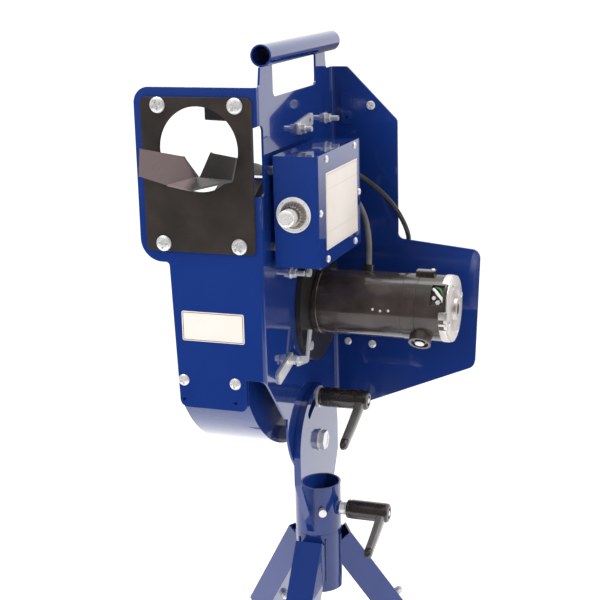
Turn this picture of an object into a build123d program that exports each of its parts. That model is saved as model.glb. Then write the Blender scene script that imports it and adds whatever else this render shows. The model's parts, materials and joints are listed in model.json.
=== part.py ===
from build123d import *
import math
import os

os.makedirs("parts", exist_ok=True)

# Baseball pitching machine: one driven wheel under a fixed pad, on a tilting and swivelling tripod.
# All sizes are in millimetres.
# Head frame: X = 0 on the web's outer face, Y = 0 on the front flange's outer face and rising
# in the throwing direction, Z = 0 on the centre line of the ball hole.
# Stand frame: origin on the floor, on the tripod's own axis.

BALL_LINE = 1300.0          # height of the ball hole above the floor
AXIS_X = 6.4                # tripod axis in the head frame
AXIS_Y = 202.5
STAND_Y = 108.4             # tripod axis in the finished part's frame

SHEET = 3.4                 # chassis steel
BEND_OUT = 9.0
BEND_IN = BEND_OUT - SHEET
FLANGE_LEFT = -192.0
FLANGE_TOP = 88.5
SHIELD_Y = 330.8            # the shield's face, seen from the operator's side
SHIELD_RIGHT = 247.0
BEND_FOOT = -343.0          # where the front corner of the web ends
TAB_FOOT = -392.5           # foot of the front flange

HOLE_X = -90.6              # ball hole
HOLE_R = 62.0
BALL_R = 37.0

HANDLE_R = 15.9
HANDLE_X = -1.8
HANDLE_Z = 131.0
HANDLE_Y = (25.0, 333.5)

WHEEL_Y = 228.0             # motor and wheel axis
WHEEL_Z = -273.6
WHEEL_R = 216.0
WHEEL_WIDTH = 90.0
SHAFT_R = 11.1

GUARD_Y = 216.0             # centre of the guard's curve
GUARD_Z = -254.0
GUARD_R = 247.0
GUARD_SHEET = 2.0
GUARD_X = (-139.0, -29.0)

MOTOR_R = 52.0
MOTOR_X = (9.0, 178.0, 230.0)
MOTOR_FLANGE_R = 97.0
MOTOR_BOLT_CIRCLE_R = 84.0

BOX_X = (7.8, 75.0)
BOX_Y = (35.0, 231.0)
BOX_Z = (-175.5, -12.0)
BOX_SHEET = 1.6
LID_SHEET = 2.0
DIAL_X = 38.0
DIAL_Z = -97.0
DIAL_R = 26.4

NECK_X = (0.3, 11.5)
NECK_HALF_WIDTH = 93.0
PIVOT_Y = AXIS_Y
PIVOT_Z = -502.0
PIVOT_R = 9.5
SLOT_R = 74.0               # tilt stud to pivot
SLOT_HALF_WIDTH = 7.4
SLOT_HALF_ANGLE = 38.0
STUD_R = 6.35
TILT_LEVER_Z = PIVOT_Z + SLOT_R

TUBE_R = 38.1
TUBE_BORE_R = 34.9
POST_R = 34.85
NECK_TUBE_Z = (-655.6, -574.7)
HUB_Z = (-757.0, -656.0)
POST_TOP_Z = -602.0
NECK_TAPER_Z = (-548.0, -649.0)
SWIVEL_LEVER_Z = -618.0

LEG_TILT = 33.5             # degrees from vertical
LEG_AZIMUTHS = {"front": -90.0, "right": 30.0, "left": 150.0}
SOCKET_START_R = 32.0       # where a socket's axis starts, from the tripod axis
SOCKET_TOP_Z = -675.0
SOCKET_HALF = 22.2
SOCKET_BORE_HALF = 19.3
SOCKET_LENGTH = 210.0
LEG_HALF = 19.05
LEG_WALL = 2.5
FOOT_WALL = 4.0
FOOT_HEIGHT = 45.0

CORD_D = 8.0                # mains cord
CORD_EXIT = (48.0, -62.0)   # on the back of the control box, as (x, z)
LEAD_D = 9.5                # motor lead
LEAD_EXIT = (52.0, -104.0)
GLAND_LENGTH = 18.0
COIL_AT = (150.0, 361.0, -300.0)
COIL_R = 44.0               # to the middle of the turns
COIL_BAND = 17.0            # two turns deep
COIL_WIDTH = 25.0           # three turns wide

# The mains cord from its gland, between the shield and the control box, over the shield's wing
# and down behind it to the top of the coil.
CORD_ROUTE = [
    (48.0, 249.0, -62.0), (53.0, 270.0, -70.0), (70.0, 286.0, -85.0), (92.0, 298.0, -106.0),
    (110.0, 310.0, -131.0), (121.0, 327.0, -160.0), (125.0, 346.0, -190.0), (119.0, 358.0, -222.0),
    (108.0, 361.0, -252.0), (106.0, 361.0, -284.0),
]
# The lead from the control box to the motor.
LEAD_ROUTE = [
    (52.0, 245.0, -104.0), (54.0, 266.0, -109.0), (62.0, 278.0, -126.0), (72.0, 277.0, -150.0),
    (81.0, 264.0, -181.0), (85.0, 247.5, -217.0),
]

# Bolts on the web, as (y, z)
WEB_BOLTS = [(168.0, 10.0), (296.0, 11.0), (118.0, -204.0), (101.0, -337.0), (310.0, -345.0)]
CHUTE_SCREWS = [(x, z) for x in (-151.0, -31.3) for z in (67.4 - 4.0, -139.2)]
TAB_SCREWS = [(-132.0, -350.0), (-48.4, -350.0)]
TAB_HOLES = [(-132.0, -380.0), (-48.4, -380.0)]
LID_SCREWS = [(71, -20), (205, -19), (225, -94), (42, -95), (204, -168), (72, -168)]
# Screws on the shield, as (x, z, head radius)
SHIELD_SCREWS = [(65.5, 28.0, 7.5), (20.8, -370.0, 6.5), (63.5, -372.0, 7.0)]
TILT_STUD_Y = PIVOT_Y


# ---------------------------------------------------------------- helpers

def along_x(radius, x0, x1, y, z):
    """A round bar along X."""
    return Pos((x0 + x1) / 2, y, z) * Rot(0, 90, 0) * Cylinder(radius, x1 - x0)


def along_y(radius, x, z, y0, y1):
    """A round bar along Y."""
    return Pos(x, (y0 + y1) / 2, z) * Rot(90, 0, 0) * Cylinder(radius, y1 - y0)


def along_z(radius, x, y, z0, z1):
    """A round bar along Z."""
    return Pos(x, y, (z0 + z1) / 2) * Cylinder(radius, z1 - z0)


def block(x, y, z):
    """A box from three (low, high) pairs."""
    size = [high - low for low, high in (x, y, z)]
    middle = [(high + low) / 2 for low, high in (x, y, z)]
    return Pos(*middle) * Box(*size)


def outline(corners):
    """A flat face from (a, b, corner radius) points."""
    face = make_face(Polyline(*[(a, b) for a, b, _ in corners], close=True))
    for a, b, r in corners:
        if r > 0:
            corner = face.vertices().sort_by_distance((a, b, 0))[0]
            face = fillet(corner, r)
    return face


def plate_yz(corners, x0, x1):
    """A plate across X from (y, z, radius) corners."""
    return extrude(Plane.YZ.offset(x0) * outline(corners), x1 - x0)


def plate_xz(corners, y0, y1):
    """A plate across Y from (x, z, radius) corners."""
    return extrude(Plane.XZ.offset(-y1) * outline(corners), y1 - y0)


def panel(points, thickness):
    """A flat sheet through three or more points in one plane, its thickness shared between both sides."""
    face = make_face(Polyline(*points, close=True)).face()
    normal = face.normal_at()
    face = face.moved(Location(normal * (-thickness / 2)))
    return extrude(face, thickness, dir=normal)


def hex_x(across_flats, x0, x1, y, z):
    """A hexagon nut or bolt head along X."""
    face = Plane.YZ.offset(x0) * Pos(y, z) * RegularPolygon(across_flats / 2, 6, major_radius=False)
    return extrude(face, x1 - x0)


def dome(radius, height):
    """A rounded screw head standing on Z = 0."""
    head = Pos(0, 0, height / 2) * Cylinder(radius, height)
    return fillet(head.faces().sort_by(Axis.Z)[-1].edges(), 0.85 * height)


def dome_y(radius, height, x, z, y):
    """A low truss head facing -Y, its underside at y."""
    return Pos(x, y, z) * Rot(90, 0, 0) * dome(radius, height)


def dome_x(radius, height, x, y, z):
    """A low truss head facing +X, its underside at x."""
    return Pos(x, y, z) * Rot(0, 90, 0) * dome(radius, height)


# ---------------------------------------------------------------- head sheet metal

def z_bend():
    """The bent sheet as a tall strip: front flange, web and shield in one."""
    corners = [
        (-200.0, 0.0, 0), (0.0, 0.0, BEND_OUT), (0.0, SHIELD_Y, BEND_IN), (260.0, SHIELD_Y, 0),
        (260.0, SHIELD_Y + SHEET, 0), (-SHEET, SHIELD_Y + SHEET, BEND_OUT),
        (-SHEET, SHEET, BEND_IN), (-200.0, SHEET, 0),
    ]
    return Pos(0, 0, -600) * extrude(outline(corners), 800)


def chassis():
    front = [
        (FLANGE_LEFT, FLANGE_TOP, 24), (-BEND_OUT, FLANGE_TOP, 0), (-BEND_OUT, BEND_FOOT, 0),
        (-31.0, BEND_FOOT, 0), (-31.0, TAB_FOOT, 10), (-139.0, TAB_FOOT, 12),
        (-147.0, -169.0, 6), (FLANGE_LEFT, -169.0, 34),
    ]
    web = [
        (-1.0, FLANGE_TOP, 0), (12.0, FLANGE_TOP, 4), (20.0, 128.0, 0), (64.5, 128.0, 0),
        (64.5, 69.0, 10), (254.0, 69.0, 10), (254.0, 128.0, 0), (296.0, 128.0, 0),
        (303.0, 90.0, 6), (341.0, 90.0, 0), (341.0, -482.0, 0), (275.0, -490.0, 0),
        (78.0, -427.0, 0), (25.0, -368.0, 0), (1.0, BEND_FOOT, 0), (-1.0, BEND_FOOT, 0),
    ]
    shield = [
        (BEND_OUT, 90.0, 0), (26.5, 90.0, 6), (110.0, 5.0, 10), (110.0, -188.0, 10),
        (SHIELD_RIGHT, -202.0, 14), (239.0, -397.5, 16), (56.0, -474.0, 20), (BEND_OUT, -483.0, 0),
    ]
    keep = plate_xz(front, -1, 5)
    keep += plate_yz(web, -BEND_OUT, BEND_OUT)
    keep += along_x(103.0, -BEND_OUT, BEND_OUT, 190.0, -444.0)
    keep += plate_xz(shield, SHIELD_Y - 1, SHIELD_Y + 5)
    body = z_bend() & keep
    body -= along_y(HANDLE_R, HANDLE_X, HANDLE_Z, 0, 340)
    body -= plate_yz([(-3, 34, 9), (21, 34, 9.5), (21, -68, 9.5), (-3, -68, 9)], -8.4, 2)
    body -= along_y(HOLE_R + 2, HOLE_X, 0, -2, 6)
    for x, z in CHUTE_SCREWS:
        body -= along_y(4.3, x, z, -2, 6)
    for x, z in TAB_SCREWS + TAB_HOLES:
        body -= along_y(3.3, x, z, -2, 6)
    for y, z in WEB_BOLTS + [(TILT_STUD_Y, TILT_LEVER_Z)]:
        body -= along_x(STUD_R + 0.1 if z < -400 else 4.3, -6, 3, y, z)
    body -= along_x(PIVOT_R + 0.05, -6, 3, PIVOT_Y, PIVOT_Z)
    body -= along_x(24.0, -6, 3, WHEEL_Y, WHEEL_Z)
    for y, z in motor_bolt_places():
        body -= along_x(4.3, -6, 3, y, z)
    for x, z, r in SHIELD_SCREWS:
        body -= along_y(3.3, x, z, SHIELD_Y - 2, SHIELD_Y + 5)
    return body


def motor_bolt_places():
    spots = []
    for k in range(4):
        angle = math.radians(45 + 90 * k)
        spots.append((WHEEL_Y + MOTOR_BOLT_CIRCLE_R * math.cos(angle),
                      WHEEL_Z + MOTOR_BOLT_CIRCLE_R * math.sin(angle)))
    return spots


def chute_plate():
    corners = [(-178.5, 74.6, 8), (-7.7, 74.6, 8), (-7.7, -151.0, 8), (-178.5, -151.0, 8)]
    body = plate_xz(corners, -6.5, 0)
    body -= along_y(HOLE_R, HOLE_X, 0, -8, 2)
    for x, z in CHUTE_SCREWS:
        body -= along_y(4.3, x, z, -8, 2)
    return body


def feed_chute():
    """A V of two rails whose top edges carry the ball, flared into wings in front of the hole."""
    left_top = (-115.3, -3.6, -10.3)
    left_foot = (-97.4, -3.6, -41.0)
    right_top = (-71.0, -3.6, -4.0)
    right_foot = (-90.2, -3.6, -42.0)
    left_wing = [left_top, left_foot, (-133.9, -22.7, -50.0), (-171.7, -36.0, -35.9), (-172.9, -26.4, 2.5)]
    near_foot_right = (-26.0, -36.0, -38.0)
    near_foot_left = (-91.0, -36.0, -54.0)
    near_top_right = (-18.2, -36.0, -5.0)
    t = 3.0
    body = panel_fan(left_wing, t)
    body += panel_fan([right_top, right_foot, near_foot_right, near_top_right], t)
    body += panel_fan([left_foot, right_foot, near_foot_right, near_foot_left, left_wing[2]], t)
    rail_end_y = 108.0
    drop = 33.0
    left_rail = [left_top, left_foot, (-97.4, 7.0, -41.9)]  # cut short, because the photograph shows daylight here
    right_rail = [right_top, right_foot, (-90.2, rail_end_y, -51.0), (-71.0, rail_end_y, -4.0 - drop)]
    floor = [left_foot, right_foot, (-90.2, rail_end_y, -51.0), (-97.4, rail_end_y, -50.0)]
    for sheet in (left_rail, right_rail, floor):
        body += panel_fan(sheet, t)
    return body


def panel_fan(points, thickness):
    """A sheet through points that are nearly in one plane, as a fan of triangles."""
    body = None
    for k in range(1, len(points) - 1):
        piece = panel([points[0], points[k], points[k + 1]], thickness)
        body = piece if body is None else body + piece
    return body


def shield_bracket():
    plate = plate_xz([(15.6, 49, 2), (35, 49, 2), (35, -2, 2), (15.6, -2, 2)], SHIELD_Y - 3, SHIELD_Y)
    return plate - along_y(3, 25.2, 8, SHIELD_Y - 4, SHIELD_Y + 1)


def handle_tube():
    tube = along_y(HANDLE_R, HANDLE_X, HANDLE_Z, *HANDLE_Y)
    return tube - along_y(HANDLE_R - 2.2, HANDLE_X, HANDLE_Z, HANDLE_Y[0] - 1, HANDLE_Y[1] + 1)


def rating_plate():
    """A blank plate riveted to the front."""
    return plate_xz([(-130.7, -242, 3), (-31, -242, 3), (-31, -287.5, 3), (-130.7, -287.5, 3)], -0.8, 0)


def chute_screws():
    heads = []
    for x, z in CHUTE_SCREWS:
        screw = dome_y(12.0, 5.5, x, z, -6.5) + along_y(4.0, x, z, -8.0, 14.0)
        screw -= block((x - 5, x + 5), (-13, -10.2), (z - 1, z + 1))
        screw -= block((x - 1, x + 1), (-13, -10.2), (z - 5, z + 5))
        heads.append(screw)
    return Compound(children=heads)


def panel_screws():
    """The truss-head screws of the front tab and of the shield."""
    pieces = [dome_y(9.0, 4.2, x, z, 0) + along_y(3.1, x, z, -1, 12) for x, z in TAB_SCREWS]
    for x, z, r in SHIELD_SCREWS:
        pieces.append(dome_y(r, r * 0.42, x, z, SHIELD_Y) + along_y(3.2, x, z, SHIELD_Y - 1, SHIELD_Y + 9))
    return Compound(children=pieces)


# ---------------------------------------------------------------- ball path

def upper_pad():
    """The fixed rubber pad that pinches the ball against the wheel."""
    side = [(118, 27, 3), (WHEEL_Y, 10.5, 60), (312, 10.5, 3), (312, 30, 0), (WHEEL_Y, 31, 0), (118, 46, 0)]
    return plate_yz(side, HOLE_X - 42, HOLE_X + 42)


def pad_bracket():
    top = plate_yz([(118, 46.2, 0), (WHEEL_Y, 31.2, 0), (312, 30.2, 0), (312, 35.2, 0),
                    (WHEEL_Y, 36.2, 0), (118, 51.2, 0)], HOLE_X - 42, -SHEET - 0.2)
    flange = plate_yz([(140, -8, 4), (320, -8, 4), (320, 36, 0), (140, 42, 0)], -8.4, -SHEET - 0.2)
    body = top + flange
    for y, z in WEB_BOLTS[:2]:
        body -= along_x(4.3, -10, 0, y, z)
    return body


def rail_bracket():
    """A shelf off the web that carries the inner end of the rails."""
    shelf = plate_yz([(62, -49.2, 0), (98, -52.2, 0), (98, -56.2, 0), (62, -53.2, 0)], -104.0, -SHEET - 0.2)
    return shelf + plate_yz([(62, -92, 4), (98, -92, 4), (98, -53, 0), (62, -50, 0)], -7.6, -SHEET - 0.2)


def wheel_tyre():
    """A solid tyre with a shallow hollow round its tread."""
    half = WHEEL_WIDTH / 2
    section = [(-half, 172), (-half, WHEEL_R - 14), (-half + 10, WHEEL_R - 1), (-half + 22, WHEEL_R)]
    tread = ThreePointArc((-half + 22, WHEEL_R), (0, WHEEL_R - 6), (half - 22, WHEEL_R))
    left = Polyline((half - 22, WHEEL_R), (half - 10, WHEEL_R - 1), (half, WHEEL_R - 14), (half, 172))
    rim_seat = Line((half, 172), (-half, 172))
    face = make_face(Polyline(*section) + tread + left + rim_seat)
    return wheel_place() * revolve(face, Axis.X)


def wheel_place():
    return Pos(HOLE_X, WHEEL_Y, WHEEL_Z)


def wheel_rim():
    half = WHEEL_WIDTH / 2
    ring = Cylinder(171.95, 2 * half - 10) - Cylinder(162, 2 * half)
    disc = Pos(0, 0, 10) * Cylinder(163, 10)
    hub = Pos(0, 0, 8) * Cylinder(34, 54)
    body = ring + disc + hub
    body -= Cylinder(SHAFT_R + 0.03, 200)
    for k in range(6):
        body -= Rot(0, 0, 60 * k) * Pos(100, 0, 10) * Cylinder(27, 30)
    return wheel_place() * Rot(0, 90, 0) * body


def motor_shaft():
    return along_x(SHAFT_R, HOLE_X - 30, MOTOR_X[0] + 30, WHEEL_Y, WHEEL_Z)


def hub_collar():
    """The split clamp collar that keeps the wheel on its shaft."""
    ring = along_x(24, HOLE_X - 30, HOLE_X - 19.5, WHEEL_Y, WHEEL_Z)
    ring -= along_x(SHAFT_R + 0.03, HOLE_X - 40, HOLE_X, WHEEL_Y, WHEEL_Z)
    return ring - block((HOLE_X - 40, HOLE_X), (WHEEL_Y - 1.2, WHEEL_Y + 1.2), (WHEEL_Z, WHEEL_Z + 40))


def wheel_guard():
    """A sheet curved under the wheel, from the tab on the front round to the throwing side."""
    low_angle = math.radians(-22)
    outer = along_x(GUARD_R + GUARD_SHEET / 2, *GUARD_X, GUARD_Y, GUARD_Z)
    inner = along_x(GUARD_R - GUARD_SHEET / 2, GUARD_X[0] - 1, GUARD_X[1] + 1, GUARD_Y, GUARD_Z)
    end_y = GUARD_Y + 400 * math.cos(low_angle)
    end_z = GUARD_Z + 400 * math.sin(low_angle)
    wedge = plate_yz([(SHEET + 0.2, -600, 0), (600, -600, 0), (end_y, end_z, 0), (GUARD_Y, GUARD_Z, 0),
                      (SHEET + 0.2, GUARD_Z, 0)], GUARD_X[0] - 1, GUARD_X[1] + 1)
    curve = (outer - inner) & wedge
    reach = math.sqrt(GUARD_R ** 2 - (GUARD_Y - SHEET - 1.2) ** 2)
    curve -= block((-200, 0), (0, 40), (GUARD_Z - reach, GUARD_Z))
    flat = block(GUARD_X, (SHEET + 0.2, SHEET + 0.2 + GUARD_SHEET), (GUARD_Z - reach - 3, -338.0))
    body = curve + flat + guard_cheek()
    for x, z in TAB_SCREWS:
        body -= along_y(3.3, x, z, 0, 8)
    return body


def guard_cheek():
    """The guard's flat side between the wheel and the web, which bolts on through spacers."""
    disc = along_x(GUARD_R, GUARD_X[1] - 2.0, GUARD_X[1], GUARD_Y, GUARD_Z)
    disc &= block((-60, 0), (SHEET + 1.2, 400), (-520, -190))
    disc -= along_x(60, -60, 0, WHEEL_Y, WHEEL_Z)
    for y, z in guard_spacer_places():
        disc -= along_x(4.3, -60, 0, y, z)
    return disc


def guard_spacer_places():
    return WEB_BOLTS[2:]


def guard_spacers():
    tubes = []
    for y, z in guard_spacer_places():
        tube = along_x(8, GUARD_X[1] + 0.1, -SHEET - 0.1, y, z)
        tubes.append(tube - along_x(4.3, -60, 0, y, z))
    return Compound(children=tubes)


# ---------------------------------------------------------------- motor

def motor_flange():
    body = along_x(MOTOR_FLANGE_R, 0.1, MOTOR_X[0], WHEEL_Y, WHEEL_Z)
    body -= along_x(22, -1, 12, WHEEL_Y, WHEEL_Z)
    for y, z in motor_bolt_places():
        body -= along_x(4.3, -1, 12, y, z)
    return body


def motor_body():
    can = along_x(MOTOR_R, MOTOR_X[0] + 0.1, MOTOR_X[1], WHEEL_Y, WHEEL_Z)
    can -= along_x(12.5, 0, MOTOR_X[0] + 32, WHEEL_Y, WHEEL_Z)
    return can


def motor_end_bell():
    bell = along_x(MOTOR_R + 0.6, MOTOR_X[1] + 0.1, MOTOR_X[2], WHEEL_Y, WHEEL_Z)
    bell = fillet(bell.faces().sort_by(Axis.X)[-1].edges(), 9)
    boss = along_x(16, MOTOR_X[2] - 3, MOTOR_X[2] + 5, WHEEL_Y, WHEEL_Z)
    window = Pos(MOTOR_X[2] - 18, WHEEL_Y, WHEEL_Z) * Rot(-37, 0, 0) * Pos(0, -MOTOR_R, 0) * Box(20, 14, 34)
    return bell + boss - window


def brush_caps():
    """The round brush cap low on the front and the screwed tab of the brush cover on top."""
    place = Pos(MOTOR_X[1] + 7, WHEEL_Y, WHEEL_Z) * Rot(137, 0, 0)
    cap = place * Pos(0, 0, MOTOR_R + 4) * Cylinder(17.5, 18)
    cap -= place * Pos(0, 0, MOTOR_R + 13) * (Cylinder(13.5, 6) - Cylinder(8, 7))
    tab = block((MOTOR_X[1] - 8, MOTOR_X[1] + 21), (WHEEL_Y - 9, WHEEL_Y + 9), (WHEEL_Z + 40, WHEEL_Z + MOTOR_R + 7.5))
    tab = fillet(tab.edges().filter_by(Axis.X), 3)
    return Compound(children=[piece - along_x(MOTOR_R + 0.7, 100, 260, WHEEL_Y, WHEEL_Z) for piece in (cap, tab)])


def motor_bolts():
    bolts = []
    for y, z in motor_bolt_places():
        bolt = hex_x(13, MOTOR_X[0] + 0.05, MOTOR_X[0] + 5.5, y, z) + along_x(4, -12, MOTOR_X[0] + 1, y, z)
        bolts.append(bolt)
    return Compound(children=bolts)


# ---------------------------------------------------------------- control box

def control_box():
    body = block(BOX_X, BOX_Y, BOX_Z)
    inner = [(low + BOX_SHEET, high - BOX_SHEET) for low, high in (BOX_Y, BOX_Z)]
    body -= block((BOX_X[0] + BOX_SHEET, BOX_X[1] + 1), *inner)
    body -= along_y(4.9, DIAL_X, DIAL_Z, BOX_Y[0] - 1, BOX_Y[0] + 3)
    body -= along_y(7.1, *CORD_EXIT, BOX_Y[1] - 3, BOX_Y[1] + 1)
    body -= along_y(7.1, *LEAD_EXIT, BOX_Y[1] - 3, BOX_Y[1] + 1)
    for y, z in LID_SCREWS:
        body -= along_x(1.9, BOX_X[1] - 8, BOX_X[1] + 1, y, z)
    return body


def box_lid():
    corners = [(BOX_Y[0] - 1, BOX_Z[1] + 1, 2), (BOX_Y[1] + 1, BOX_Z[1] + 1, 2),
               (BOX_Y[1] + 1, BOX_Z[0] - 1, 2), (BOX_Y[0] - 1, BOX_Z[0] - 1, 2)]
    body = plate_yz(corners, BOX_X[1] + 0.1, BOX_X[1] + 0.1 + LID_SHEET)
    for y, z in LID_SCREWS:
        body -= along_x(1.9, BOX_X[1] - 1, BOX_X[1] + 5, y, z)
    return body


def lid_screws():
    face = BOX_X[1] + 0.1 + LID_SHEET
    heads = [dome_x(5.6, 3.0, face, y, z) + along_x(1.8, face - 9, face + 1, y, z) for y, z in LID_SCREWS]
    return Compound(children=heads)


def lid_label():
    face = BOX_X[1] + 0.1 + LID_SHEET
    return plate_yz([(65.5, -40, 2), (215, -40, 2), (215, -154, 2), (65.5, -154, 2)], face, face + 0.6)


def box_standoffs():
    spots = [(y, z) for y in (BOX_Y[0] + 25, BOX_Y[1] - 25) for z in (BOX_Z[0] + 25, BOX_Z[1] - 25)]
    return Compound(children=[along_x(7, 0.1, BOX_X[0] - 0.1, y, z) for y, z in spots])


def speed_board():
    """The speed control: a board with its heat sink, choke and capacitors."""
    x0 = BOX_X[0] + BOX_SHEET + 8
    body = block((x0, x0 + 1.6), (70, 205), (-160, -30))
    body += block((x0 - 7.9, x0 + 0.5), (75, 200), (-70, -35))
    body += block((x0 + 1, x0 + 22), (150, 190), (-150, -110))
    for k in range(3):
        body += along_x(9, x0 + 1, x0 + 30, 90 + 24 * k, -130)
    return body


def dial_plate():
    ring = along_y(DIAL_R, DIAL_X, DIAL_Z, BOX_Y[0] - 1.2, BOX_Y[0])
    return ring - along_y(4.9, DIAL_X, DIAL_Z, BOX_Y[0] - 3, BOX_Y[0] + 1)


def potentiometer():
    body = along_y(12, DIAL_X, DIAL_Z, BOX_Y[0] + BOX_SHEET + 0.1, BOX_Y[0] + 14)
    return body + along_y(4.8, DIAL_X, DIAL_Z, BOX_Y[0] - 4, BOX_Y[0] + 5) - \
        along_y(3.1, DIAL_X, DIAL_Z, BOX_Y[0] - 5, BOX_Y[0] + 3)


def speed_knob():
    """A fluted skirt, a round cap and the spindle they sit on."""
    y0 = BOX_Y[0] - 1.6
    place = Pos(DIAL_X, y0, DIAL_Z) * Rot(90, 0, 0)
    skirt = place * Pos(0, 0, 7.5) * Cone(20.5, 15.5, 15)
    cap = place * Pos(0, 0, 24) * Cylinder(12.9, 20)
    cap = chamfer(cap.faces().sort_by(Axis.Y)[0].edges(), 1.2)
    body = skirt + cap - place * Pos(0, 0, 1.5) * Cylinder(6.5, 5)
    body += place * Pos(0, 0, 0.5) * Cylinder(3.05, 8)
    for k in range(20):
        body -= place * Rot(0, 0, 18 * k) * Pos(19.6, 0, 6) * Rot(0, -18, 0) * Cylinder(1.5, 26)
    return body


# ---------------------------------------------------------------- web hardware

def web_bolts():
    """Hexagon bolts through the web, each with a washer and a nut on the motor side."""
    pieces = []
    tails = (-8.6, -8.6, -31.2, -31.2, -31.2)
    for (y, z), tail, lift in zip(WEB_BOLTS, tails, (3.2, 0, 0, 3.2, 0)):
        bolt = along_x(4.2, tail, 22, y, z) + hex_x(13, tail - 5.5, tail, y, z)
        washer = along_x(9, lift + 0.1, lift + 1.7, y, z)
        nut = hex_x(13, lift + 1.8, lift + 8.8, y, z)
        pieces.append(bolt + washer + nut)
    return Compound(children=pieces)


def strap_tabs():
    """Two small drilled straps held under web bolts."""
    upper = plate_yz([(158, 1, 4), (158, 19, 4), (228, 28, 4), (228, 9, 4)], 0.1, 3.1)
    lower = plate_yz([(112, -326, 5), (112, -347, 5), (52, -364, 4), (48, -344, 4)], 0.1, 3.1)
    upper -= along_x(4.4, -1, 5, *WEB_BOLTS[0])
    upper -= along_x(4.0, -1, 5, 214, 17)
    lower -= along_x(4.4, -1, 5, *WEB_BOLTS[3])
    return Compound(children=[upper, lower])


def cranked_bar():
    """A small bar on the lowest web bolt, cranked up beside the motor."""
    y, z = WEB_BOLTS[3]
    arm = panel([(16, y - 6, z - 8), (16, y + 34, z - 14), (16, y + 34, z - 3), (16, y - 6, z + 8)], 3)
    arm += panel([(16, y + 30, z - 14), (16, y + 48, z + 36), (16, y + 60, z + 32), (16, y + 41, z - 14)], 3)
    return arm - along_x(4.3, 10, 20, y, z)


# ---------------------------------------------------------------- neck, tilt and swivel

def neck_plate():
    """The upright plate: a dome with the curved tilt slot, forked over the swivel post at its foot."""
    y0, y1 = AXIS_Y - NECK_HALF_WIDTH, AXIS_Y + NECK_HALF_WIDTH
    foot0, foot1 = AXIS_Y - TUBE_R, AXIS_Y + TUBE_R
    side = [(y0, PIVOT_Z, 0), (y1, PIVOT_Z, 0), (y1, NECK_TAPER_Z[0], 8), (foot1, NECK_TAPER_Z[1], 0),
            (foot0, NECK_TAPER_Z[1], 0), (y0, NECK_TAPER_Z[0], 8)]
    body = plate_yz(side, *NECK_X)
    body += along_x(NECK_HALF_WIDTH, *NECK_X, PIVOT_Y, PIVOT_Z)
    body -= tilt_slot()
    body -= along_x(PIVOT_R + 0.05, -1, 14, PIVOT_Y, PIVOT_Z)
    notch = block((-1, 14), (AXIS_Y - TUBE_BORE_R - 0.1, AXIS_Y + TUBE_BORE_R + 0.1), (-700, POST_TOP_Z + 2))
    return body - notch


def tilt_slot():
    """An arc of slot about the tilt pivot."""
    ring = along_x(SLOT_R + SLOT_HALF_WIDTH, -1, 14, PIVOT_Y, PIVOT_Z)
    ring -= along_x(SLOT_R - SLOT_HALF_WIDTH, -2, 15, PIVOT_Y, PIVOT_Z)
    reach = math.radians(SLOT_HALF_ANGLE)
    far = 120.0
    wedge = plate_yz([(PIVOT_Y, PIVOT_Z, 0), (PIVOT_Y - far * math.tan(reach), PIVOT_Z + far, 0),
                      (PIVOT_Y + far * math.tan(reach), PIVOT_Z + far, 0)], -3, 16)
    slot = ring & wedge
    for side in (-1, 1):
        y = PIVOT_Y + side * SLOT_R * math.sin(reach)
        z = PIVOT_Z + SLOT_R * math.cos(reach)
        slot += along_x(SLOT_HALF_WIDTH, -1, 14, y, z)
    return slot


def neck_tube():
    """The swivelling tube, slit front and back for the neck plate."""
    tube = Pos(AXIS_X, AXIS_Y, sum(NECK_TUBE_Z) / 2) * Cylinder(TUBE_R, NECK_TUBE_Z[1] - NECK_TUBE_Z[0])
    tube -= Pos(AXIS_X, AXIS_Y, sum(NECK_TUBE_Z) / 2) * Cylinder(TUBE_BORE_R, 200)
    slit = block((NECK_X[0] - 0.1, NECK_X[1] + 0.1), (AXIS_Y - 60, AXIS_Y + 60), (NECK_TAPER_Z[1] - 0.1, -500))
    tube -= slit
    return tube - along_x(6.45, AXIS_X, AXIS_X + 60, AXIS_Y, SWIVEL_LEVER_Z)


def swivel_boss():
    """The round nut welded to the neck tube for the swivel clamp screw."""
    body = along_x(10.5, AXIS_X + 30, AXIS_X + TUBE_R + 10, AXIS_Y, SWIVEL_LEVER_Z)
    body -= along_z(TUBE_R + 0.05, AXIS_X, AXIS_Y, -700, -500)
    return body - along_x(6.45, AXIS_X, AXIS_X + 60, AXIS_Y, SWIVEL_LEVER_Z)


def stop_screw():
    """A small screw on the front right of the neck tube that keeps the post from lifting out."""
    turn = Pos(AXIS_X, AXIS_Y, SWIVEL_LEVER_Z + 4) * Rot(0, 0, -62)
    head = turn * Pos(TUBE_R + 4.6, 0, 0) * Rot(0, 90, 0) * Cylinder(6.5, 9)
    return head


def pivot_bolt():
    shank = along_x(PIVOT_R, -SHEET - 2.0, 22.0, PIVOT_Y, PIVOT_Z)
    return shank + hex_x(28.6, -SHEET - 13.5, -SHEET - 0.1, PIVOT_Y, PIVOT_Z)


def pivot_nut():
    washer = along_x(17.5, NECK_X[1] + 0.1, NECK_X[1] + 2.1, PIVOT_Y, PIVOT_Z)
    nut = hex_x(28.6, NECK_X[1] + 2.1, NECK_X[1] + 11, PIVOT_Y, PIVOT_Z)
    return washer + nut - along_x(PIVOT_R + 0.02, 0, 40, PIVOT_Y, PIVOT_Z)


def tilt_stud():
    """The stud through the curved slot, its low head behind the web."""
    stud = along_x(STUD_R, -SHEET - 1.0, 60.0, TILT_STUD_Y, TILT_LEVER_Z)
    return stud + along_x(13, -SHEET - 6.0, -SHEET - 0.1, TILT_STUD_Y, TILT_LEVER_Z)


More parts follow.
